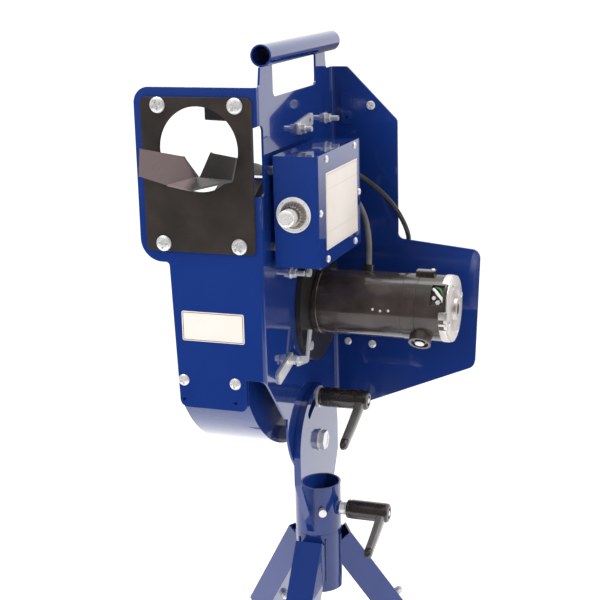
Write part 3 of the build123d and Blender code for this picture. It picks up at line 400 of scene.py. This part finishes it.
bm = bmesh.new()
for low, high in (((-129, -244.2), (-32.7, -243.4)), ((-129, -286.1), (-32.7, -285.3)),
                  ((-129, -285.3), (-128.2, -244.2)), ((-33.5, -285.3), (-32.7, -244.2))):
    box_into(bm, at(low[0], -1.05, low[1]), at(high[0], -0.75, high[1]))
keep("rating_plate_border", bm, LABEL_EDGE, "head", smooth=False)

bm = bmesh.new()
for low, high in (((68, -43.6), (212.5, -42.8)), ((68, -151.2), (212.5, -150.4)), ((68, -150.4), (68.8, -43.6)),
                  ((211.7, -150.4), (212.5, -43.6)), ((68.8, -64.4), (211.7, -64.0)),
                  ((68.8, -128.4), (211.7, -128.0))):
    box_into(bm, at(77.5, low[0], low[1]), at(77.85, high[0], high[1]))
keep("lid_label_rules", bm, LABEL_LINE, "head", smooth=False)

DIAL = at(KNOB_X, 33.8, KNOB_Z)
bm = bmesh.new()
for k in range(41):
    a = math.radians(-225 + 270 * k / 40)
    long_mark = k % 4 == 0
    m = place(DIAL, (0, -1, 0)) @ Matrix.Rotation(a, 4, "Z")
    r0, r1, w = (22.2 if long_mark else 23.2), 24.9, (0.22 if long_mark else 0.13)
    made = bmesh.ops.create_cube(bm, size=1.0)["verts"]
    for v in made:
        p = Vector(((r0 + (v.co.x + 0.5) * (r1 - r0)) / 1000, v.co.y * 2 * w / 1000, (v.co.z * 0.3 + 0.05) / 1000))
        v.co = m @ p
keep("dial_marks", bm, MARK, "head", smooth=False)


def fluted(angle, height):
    return 1.0 + (0.028 * math.cos(24 * angle) if 1.2 < height < 12.5 else 0.0)


knob_at = place(at(KNOB_X, 33.4, KNOB_Z), (0, -1, 0))
skirt = lathe("knob_skirt", [(6.6, 0.15), (19.6, 0.15), (20.2, 0.7), (20.0, 1.4), (19.4, 3), (18.2, 6), (17.0, 9),
                             (16.0, 12), (15.2, 13.6), (13.6, 14.4), (12.4, 14.6), (6.6, 14.6), (6.6, 0.15)],
              knob_at, KNOB, "knob", 144, fluted)
lathe("knob_cap", [(6.4, 14.0), (12.0, 14.0), (12.4, 15.5), (12.7, 17.0), (12.7, 31.4), (12.3, 32.6),
                   (11.2, 33.6), (9.6, 34.0), (9.2, 33.5), (0, 33.3)],
      knob_at, CHROME, "knob", 72)
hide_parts("speed_knob")
bm = bmesh.new()
lathe_into(bm, [(0, -3.6), (3.0, -3.6), (3.0, 14.2), (0, 14.2)], knob_at, 24)
keep("knob_spindle", bm, STEEL, "knob")
bm = bmesh.new()
made = bmesh.ops.create_cube(bm, size=1.0)["verts"]
for v in made:
    v.co = knob_at @ Vector((v.co.x * 0.0013, 0.0135 + v.co.y * 0.0045, 0.0148 + v.co.z * 0.0009))
keep("knob_pointer", bm, MARK, "knob", smooth=False)


# ------------------------------------------------------------------ clamp levers

def lever(name, x0, length, y, z, arm, fall, body, replaced, collar):
    """Round hub with turned end rings, and a softly tapered arm near its outer end."""
    m = place(at(x0, y, z), (1, 0, 0))
    bm = bmesh.new()
    hub = [(0, 0), (13.2, 0), (14.6, 0.7), (15.4, 2.0), (15.6, 3.6), (15.1, 4.6), (15.1, 6.0), (15.7, 7.0),
           (15.9, 9.0), (15.9, length - 24), (15.6, length - 22), (15.9, length - 20), (15.9, length - 5),
           (15.2, length - 2.2), (13.6, length - 0.6), (12.0, length - 0.1), (9.0, length - 0.1), (8.4, length - 1.6),
           (4.6, length - 1.6), (4.2, length - 0.9), (0, length - 0.8)]
    lathe_into(bm, hub, m, 56)
    hub_faces = len(bm.faces)
    tilt = math.radians(fall)
    along = Vector((0, -math.cos(tilt), -math.sin(tilt)))
    across = Vector((1, 0, 0))
    upward = across.cross(along)
    middle = Vector(at(x0 + length - 11.5, y, z))
    sections = 26
    rings = []
    for i in range(sections + 1):
        t = i / sections
        reach = arm * t
        half_w = 7.6 - 1.3 * t
        half_h = 8.4 - 1.9 * t
        if t > 0.9:
            q = (t - 0.9) / 0.1
            shrink = math.sqrt(max(0.0, 1 - q * q * 0.92))
            half_w *= shrink
            half_h *= shrink
        crank = 1.6 * math.sin(math.pi * min(1.0, t * 1.1))
        ring = []
        for k in range(32):
            px, pz = soft_square(2 * math.pi * k / 32, 0.55, half_w, half_h)
            ring.append(bm.verts.new(middle + (along * reach + across * px + upward * (pz + crank)) / 1000))
        rings.append(ring)
    skin(bm, rings)
    bm.faces.new(rings[0][::-1])
    bm.faces.new(rings[-1])
    bm.faces.ensure_lookup_table()
    # The arm's last four sections and both its cap faces take the dark hub finish: painted shade at the arm's end.
    for i in range(hub_faces, len(bm.faces)):
        bm.faces[i].material_index = 1 if (i - hub_faces) < 32 * (sections - 4) else 0
    o = keep(name, bm, LEVER, body, angle=40)
    o.data.materials.append(LEVER_ARM)
    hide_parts(replaced)
    bm = bmesh.new()
    lathe_into(bm, [(0, length - 1.2), (4.4, length - 1.2), (4.4, length + 0.3), (3.6, length + 0.9),
                    (0, length + 0.9)], m, 24)
    for low, high, r in collar:
        lathe_into(bm, [(0, low), (r, low), (r, high), (0, high)], m, 32)
    keep(name + "_screw", bm, ZINC, body)


lever("tilt_lever_grip", 14.8, 81.0, NECK_Y, TILT_Z, 114.0, 24.0, "tilt_handle", "tilt_lever", [])
lever("swivel_lever_grip", 57.5, 71.0, NECK_Y, SWIVEL_Z, 98.0, 24.0, "swivel_handle", "swivel_lever",
      [(-16.0, 0.2, 6.3), (-2.8, 0.3, 9.4)])

# ------------------------------------------------------------------ motor

MOTOR = place(at(0, MOTOR_Y, MOTOR_Z), (1, 0, 0))


def motor_ring(name, x0, x1, r, finish, soft=0.4):
    return lathe(name, [(51.5, x0), (r - soft, x0), (r, x0 + soft), (r, x1 - soft), (r - soft, x1), (51.5, x1),
                        (51.5, x0)], MOTOR, finish, "head", 120)


motor_ring("motor_front_ring", 10.5, 19.0, 53.6, MOTOR_GREY, 1.2)
motor_ring("motor_cover_band", 155.0, 177.0, 52.9, MOTOR_GREY, 0.4)


def on_motor(x, angle, radius):
    """A point on the motor, its angle from the top towards the operator."""
    a = math.radians(angle)
    return at(x, MOTOR_Y - radius * math.sin(a), MOTOR_Z + radius * math.cos(a))


def out_of_motor(angle):
    a = math.radians(angle)
    return (0, -math.sin(a), math.cos(a))


bm = bmesh.new()
for x, angle in ((112, 85), (124, 87), (137, 86)):
    lathe_into(bm, [(0, -0.6), (2.1, -0.6), (2.1, 0.3), (1.5, 0.9), (0, 1.1)],
               place(on_motor(x, angle, 52), out_of_motor(angle)), 20)
keep("motor_pole_screws", bm, ZINC, "head")

# the cast end cap, with its brush window and wrench notches
bm = bmesh.new()
CAP_SECTION = [(51.9, 0.0), (52.7, 0.02), (52.9, 0.08), (52.9, 0.62), (52.4, 0.78), (50.9, 0.92), (48.6, 1.0),
               (40.0, 1.01), (38.8, 1.05), (30.0, 1.05), (28.6, 1.01), (17.6, 1.01), (16.9, 1.06), (16.6, 1.3),
               (16.0, 1.37), (9.0, 1.37), (8.4, 1.32)]
rings = []
for r, t in CAP_SECTION:
    ring = []
    for k in range(180):
        a = 2.0 * k
        start = 227.0 if 31 <= a <= 82 else 216.0
        x = start + (230.3 - start) * t if t <= 1 else 230.3 + (t - 1) * 14
        rr = r
        if (97 <= a <= 103 or 109 <= a <= 115) and 0.05 < t <= 1.0 and r > 46:
            rr = r - 2.6
        ring.append(bm.verts.new(on_motor(x, a, rr)))
    rings.append(ring)
inner = [bm.verts.new(on_motor(229.5, 2.0 * k, 51.9)) for k in range(180)]
skin(bm, [inner] + rings)
bm.faces.new(rings[-1])
bm.faces.new(inner)
keep("motor_end_cap", bm, ALUMINIUM, "head", angle=30)

bm = bmesh.new()
for angle in (20, 110, 200, 290):
    c = on_motor(229.5, angle, 40)
    lathe_into(bm, [(0, -2), (4.6, -2), (4.6, 2.2), (3.8, 3.2), (0, 3.2)], place(c, (1, 0, 0)), 6)
keep("motor_through_bolts", bm, ZINC, "head", angle=20)


def wire(name, points, radius, finish):
    curve = bpy.data.curves.new(name, "CURVE")
    curve.dimensions = "3D"
    curve.bevel_depth = radius / 1000
    curve.bevel_resolution = 4
    curve.resolution_u = 12
    curve.use_fill_caps = True
    spline = curve.splines.new("NURBS")
    spline.points.add(len(points) - 1)
    for p, co in zip(spline.points, points):
        p.co = (*co, 1.0)
    spline.order_u = 3
    spline.use_endpoint_u = True
    o = bpy.data.objects.new(name, curve)
    bpy.context.scene.collection.objects.link(o)
    curve.materials.append(finish)
    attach(o, "head")
    return o


wire("brush_wire_white",
     [on_motor(204, 40, 48.5), on_motor(209, 46, 51.5), on_motor(215, 54, 52.0), on_motor(221, 60, 50.5),
      on_motor(223, 66, 47.5)], 2.4, WIRE_WHITE)
wire("brush_wire_green",
     [on_motor(206, 34, 47.5), on_motor(213, 39, 50.6), on_motor(219, 46, 50.2), on_motor(222, 55, 48.0)],
     1.6, WIRE_GREEN)
bm = bmesh.new()
lathe_into(bm, [(0, -1), (4.4, -1), (4.4, 1.6), (3.8, 2.3), (0, 2.3)],
           place(on_motor(214, 66, 47.0), out_of_motor(66)), 6)
lathe_into(bm, [(0, -1), (3.4, -1), (3.4, 1.8), (0, 1.8)], place(on_motor(207, 58, 47.0), out_of_motor(58)), 6)
keep("brush_terminal", bm, ZINC, "head", angle=20)
bm = bmesh.new()
lathe_into(bm, [(0, -1), (3.2, -1), (3.2, 2.2), (2.4, 3.0), (0, 3.0)], place(at(196, 226, -214.3), (0, 0, 1)), 24)
lathe_into(bm, [(0, 0), (7.4, 0), (7.4, 0.9), (6.6, 1.5), (0, 1.5)],
           place(on_motor(185, 137, 64.6), out_of_motor(137)), 32)
keep("brush_cover_screws", bm, ZINC, "head")

# ------------------------------------------------------------------ weld beads


def ring_points(centre, axis, radius, start=0.0, stop=360.0, n=48):
    m = place(centre, axis)
    full = abs(stop - start) >= 359.9
    count = n if full else n + 1
    angles = [math.radians(start + (stop - start) * k / n) for k in range(count)]
    return [m @ (Vector((radius * math.cos(a), radius * math.sin(a), 0)) / 1000) for a in angles]


for side, x in (("outer", 11.5), ("inner", 0.3)):
    for end, y in (("front", NECK_Y - 38.3), ("back", NECK_Y + 38.3)):
        weld("weld_neck_%s_%s" % (side, end), [at(x, y, -578), at(x, y, -646)], 1.7, "yoke")
weld("weld_swivel_boss", ring_points(at(44.2, NECK_Y, SWIVEL_Z), (1, 0, 0), 10.6), 1.5, "yoke", closed=True)
for y0, y1 in ((52.0, 62.0), (256.0, 276.0)):
    weld("weld_handle_%d" % int(y0), [at(0.2, y0, 118.6), at(0.2, y1, 118.6)], 1.6, "head")
    weld("weld_handle_in_%d" % int(y0), [at(-3.8, y0, 118.6), at(-3.8, y1, 118.6)], 1.6, "head")
weld("weld_rail_left", [at(-116.4, 0.6, -11), at(-98.4, 0.6, -42.5)], 1.4, "head", BLACK_SHEET)
weld("weld_rail_right", [at(-69.4, 0.6, -5), at(-88.4, 0.6, -43)], 1.4, "head", BLACK_SHEET)

for n, azimuth in enumerate(LEG_AZIMUTHS):
    a = math.radians(azimuth)
    out = Vector((math.cos(a), math.sin(a), 0))
    sideways = Vector((-math.sin(a), math.cos(a), 0))
    hub = Vector((0, STAND_Y, 0))
    for s in (-1, 1):
        points = []
        for k in range(7):
            z = 637 - 12.5 * k
            edge = 22.2
            r = math.sqrt(38.1 ** 2 - edge ** 2)
            points.append((hub + out * (r + 0.6) + sideways * (s * (edge + 0.6)) + Vector((0, 0, z))) / 1000)
        weld("weld_socket_%d_%d" % (n, s), points, 1.7, "stand")

# ------------------------------------------------------------------ rubber boots' ribs

for n, azimuth in enumerate(LEG_AZIMUTHS):
    a = math.radians(azimuth)
    out = Vector((math.cos(a), math.sin(a), 0))
    down = (out * math.sin(LEG_LEAN) + Vector((0, 0, -math.cos(LEG_LEAN)))).normalized()
    sideways = Vector((-math.sin(a), math.cos(a), 0))
    third = down.cross(sideways)
    start = Vector((0, STAND_Y, 0)) + out * 32.0 + Vector((0, 0, LEG_TOP))
    bm = bmesh.new()
    for height in (40.0, 33.0, 26.0):
        reach = (LEG_TOP - height) / math.cos(LEG_LEAN)
        c = start + down * (reach - 10)
        rings = []
        for offset, half in ((-1.6, 22.9), (-1.2, 23.9), (1.2, 23.9), (1.6, 22.9)):
            ring = []
            for k in range(40):
                px, py = soft_square(2 * math.pi * k / 40, 0.22, half, half)
                ring.append(bm.verts.new((c + down * offset + sideways * px + third * py) / 1000))
            rings.append(ring)
        skin(bm, rings + rings[:1])
    keep("boot_ribs_%d" % n, bm, RUBBER, "stand", angle=30)

# ------------------------------------------------------------------ mains cord, coil and plug

ROUTE = [
    (48.0, 249.0, -62.0), (53.0, 270.0, -70.0), (70.0, 286.0, -85.0), (92.0, 298.0, -106.0),
    (110.0, 310.0, -131.0), (121.0, 327.0, -160.0), (125.0, 346.0, -190.0), (119.0, 356.0, -222.0),
    (110.0, 357.0, -252.0), (108.5, 354.0, -282.0),
]
COIL = Vector((150.0, 361.0, -300.0))
LANES = [(40.2, 352.8), (40.2, 361.0), (40.2, 369.2), (48.6, 365.0), (48.6, 356.6)]
cord_points = [at(*p) for p in ROUTE]
for turn in range(5):
    r0, y0 = LANES[turn]
    r1, y1 = LANES[min(turn + 1, 4)]
    for step in range(12):
        angle = 197 + 30 * step
        if turn == 4 and angle > 520:
            break
        blend = max(0.0, min(1.0, (step - 8) / 3.0))
        radius = (r0 + (r1 - r0) * blend) / 0.983
        y = y0 + (y1 - y0) * blend
        a = math.radians(angle)
        cord_points.append(at(COIL.x + radius * math.cos(a), y, COIL.z + radius * math.sin(a)))
cord_points += [at(104.0, 358.0, -286.0), at(104.5, 360.0, -304.0), at(106.0, 361.0, -322.0),
                at(106.0, 361.0, -338.0), at(106.0, 361.0, -348.0)]

curve = bpy.data.curves.new("mains_cord", "CURVE")
curve.dimensions = "3D"
curve.bevel_depth = 0.004
curve.bevel_resolution = 6
curve.resolution_u = 8
curve.use_fill_caps = True
spline = curve.splines.new("NURBS")
spline.points.add(len(cord_points) - 1)
for p, co in zip(spline.points, cord_points):
    p.co = (*co, 1.0)
spline.order_u = 3
spline.use_endpoint_u = True
cord = bpy.data.objects.new("mains_cord", curve)
bpy.context.scene.collection.objects.link(cord)
curve.materials.append(CORD)
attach(cord, "head")
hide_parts("power_cord", "cord_coil")

# the tapered strain relief follows the cord out of its gland
line_curve = curve.copy()
line_curve.bevel_depth = 0.0
line_object = bpy.data.objects.new("cord_line", line_curve)
line_mesh = bpy.data.meshes.new_from_object(line_object)
bpy.data.objects.remove(line_object)
bpy.data.curves.remove(line_curve)
trail, run = [line_mesh.vertices[0].co.copy()], [0.0]
for v in line_mesh.vertices[1:]:
    run.append(run[-1] + (v.co - trail[-1]).length)
    trail.append(v.co.copy())
    if run[-1] > 0.04:
        break
bpy.data.meshes.remove(line_mesh)


def along_cord(distance):
    """The cord's centre and direction, this many metres from where it leaves the gland."""
    k = next(i for i in range(1, len(run)) if run[i] >= distance)
    part = (distance - run[k - 1]) / (run[k] - run[k - 1])
    return trail[k - 1].lerp(trail[k], part), (trail[k] - trail[k - 1]).normalized()


bm = bmesh.new()
rings = []
RELIEF = 27
for k in range(RELIEF * 3 + 1):
    t = k / (RELIEF * 3)
    centre, direction = along_cord(0.0005 + t * RELIEF / 1000)
    rib = 0.5 if (k % 6) in (0, 1, 2) and 0.12 < t < 0.8 else 0.0
    r = 7.4 - 2.7 * t + rib - (0.25 if t > 0.97 else 0)
    m = place(centre, direction, (1, 0, 0))
    turns = [j * math.pi / 16 for j in range(32)]
    rings.append([bm.verts.new(m @ (Vector((r * math.cos(a), r * math.sin(a), 0)) / 1000)) for a in turns])
skin(bm, rings)
bm.faces.new(rings[0][::-1])
bm.faces.new(rings[-1])
keep("cord_strain_relief", bm, PLASTIC, "head", angle=30)

PLUG = place(at(106.0, 361.0, -330.0), (0, 0, -1), (0, 1, 0))


def grip(angle, height):
    """An oval body with shallow finger grooves."""
    if height < 20.5:
        return 1.0
    flat = 1.0 - 0.16 * math.sin(angle) ** 2
    groove = 0.035 * math.cos(height * 1.5) if 28 < height < 50 else 0.0
    return flat * (1.0 - groove * abs(math.sin(angle)))


profile = [(4.1, 0.5), (5.4, 0.5), (5.6, 1.5), (5.0, 2.6), (5.8, 3.8), (5.2, 5.0), (6.0, 6.2), (5.4, 7.4), (6.4, 8.8),
           (5.9, 10.2), (7.0, 12.0), (6.6, 13.6), (7.8, 16.0), (8.2, 18.0), (9.2, 20.0), (11.2, 22.5), (13.4, 25.0),
           (14.4, 28.0)]
profile += [(14.6, 28.0 + 1.2 * k) for k in range(1, 20)]
profile += [(14.7, 54.0), (14.8, 57.0), (14.3, 59.0), (13.0, 60.0), (0, 60.0)]
plug = lathe("mains_plug", [(0, 6.0), (4.0, 6.0), (4.1, 0.5)] + profile[1:], PLUG, PLASTIC, "head",
             64, grip)
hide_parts("cord_plug")

bm = bmesh.new()
rings = []
for offset, grow in ((-7.0, 0.0), (-6.8, 0.8), (6.8, 0.8), (7.0, 0.0)):
    ring = []
    for k in range(36):
        px, py = soft_square(2 * math.pi * k / 36, 0.5, 9.3 + grow, 13.3 + grow)
        ring.append(bm.verts.new(at(194.4 + px, 361.0 + py, -300.0 + offset)))
    rings.append(ring)
skin(bm, rings + rings[:1])
keep("cord_tie", bm, RUBBER, "head", angle=30)

# ------------------------------------------------------------------ floor, light, camera

floor = bpy.data.materials.new("pale_floor")
floor.use_nodes = True
fb = floor.node_tree.nodes["Principled BSDF"]
fb.inputs["Base Color"].default_value = (0.93, 0.93, 0.94, 1)
fb.inputs["Roughness"].default_value = 0.55
fb.inputs["Emission Color"].default_value = (1, 1, 1, 1)
fb.inputs["Emission Strength"].default_value = 0.16
bpy.ops.mesh.primitive_plane_add(size=1, location=(0, 0.4, 0))
ground = bpy.context.object
ground.scale = (7.0, 5.2, 1.0)
ground.name = "floor"
ground.data.materials.append(floor)

world = bpy.data.worlds.new("studio")
bpy.context.scene.world = world
world.use_nodes = True
wn, wl = world.node_tree.nodes, world.node_tree.links
back = wn["Background"]
back.inputs["Color"].default_value = (1.0, 0.99, 0.985, 1)


def world_map(value, low, high, out_low, out_high):
    n = wn.new("ShaderNodeMapRange")
    n.interpolation_type = "SMOOTHSTEP"
    n.inputs["From Min"].default_value = low
    n.inputs["From Max"].default_value = high
    n.inputs["To Min"].default_value = out_low
    n.inputs["To Max"].default_value = out_high
    wl.new(value, n.inputs["Value"])
    return n.outputs["Result"]


def world_math(kind, a, b):
    n = wn.new("ShaderNodeMath")
    n.operation = kind
    for socket, value in zip(n.inputs, (a, b)):
        if isinstance(value, float):
            socket.default_value = value
        else:
            wl.new(value, socket)
    return n.outputs["Value"]


# The studio that glossy paint sees: a white sweep behind, softboxes above, darker towards the camera.
sky = wn.new("ShaderNodeTexCoord")
split = wn.new("ShaderNodeSeparateXYZ")
wl.new(sky.outputs["Generated"], split.inputs["Vector"])
behind = world_map(split.outputs["Y"], -0.25, 0.75, 0.14, 1.12)
above = world_map(split.outputs["Z"], 0.55, 0.95, 0.0, 0.7)
low_band = world_map(split.outputs["Z"], -0.22, -0.12, 0.16, 1.0)
gloss = world_math("ADD", world_math("MULTIPLY", behind, low_band), above)
path = wn.new("ShaderNodeLightPath")
soft_part = world_math("MULTIPLY", world_math("SUBTRACT", 1.0, path.outputs["Is Glossy Ray"]), 0.85)
gloss_part = world_math("MULTIPLY", path.outputs["Is Glossy Ray"], gloss)
seen = world_math("MULTIPLY", path.outputs["Is Camera Ray"], 0.3)
wl.new(world_math("ADD", world_math("ADD", soft_part, gloss_part), seen), back.inputs["Strength"])


def area(name, location, target, size, power, glossy=True):
    light = bpy.data.lights.new(name, "AREA")
    light.shape = "RECTANGLE"
    light.size, light.size_y = size
    light.energy = power
    o = bpy.data.objects.new(name, light)
    bpy.context.scene.collection.objects.link(o)
    o.location = location
    o.rotation_euler = (Vector(target) - Vector(location)).to_track_quat("-Z", "Y").to_euler()
    o.visible_glossy = glossy


area("key", (-0.95, -0.45, 3.1), (0, 0, 1.05), (0.6, 0.5), 26)
area("fill", (-1.2, -3.2, 2.4), (0, 0, 1.1), (2.0, 2.0), 46, glossy=False)
area("side", (3.0, 0.4, 1.8), (0, 0.1, 1.1), (1.4, 1.8), 16)
area("top", (0.4, 0.9, 4.0), (0, 0, 1.0), (2.2, 1.6), 40)

bpy.context.scene.view_settings.view_transform = "Standard"

cam_data = bpy.data.cameras.new("camera")
cam_data.sensor_width = 36.0
cam_data.lens = 83.02
cam = bpy.data.objects.new("camera", cam_data)
bpy.context.scene.collection.objects.link(cam)
turn = (Matrix.Rotation(math.radians(20.123), 4, "Z") @ Matrix.Rotation(math.radians(90 - 14.365), 4, "X")
        @ Matrix.Rotation(math.radians(-1.4217), 4, "Z"))
turn.translation = (0.71397, -1.90386, 1.57982)
cam.matrix_world = turn
bpy.context.scene.camera = cam
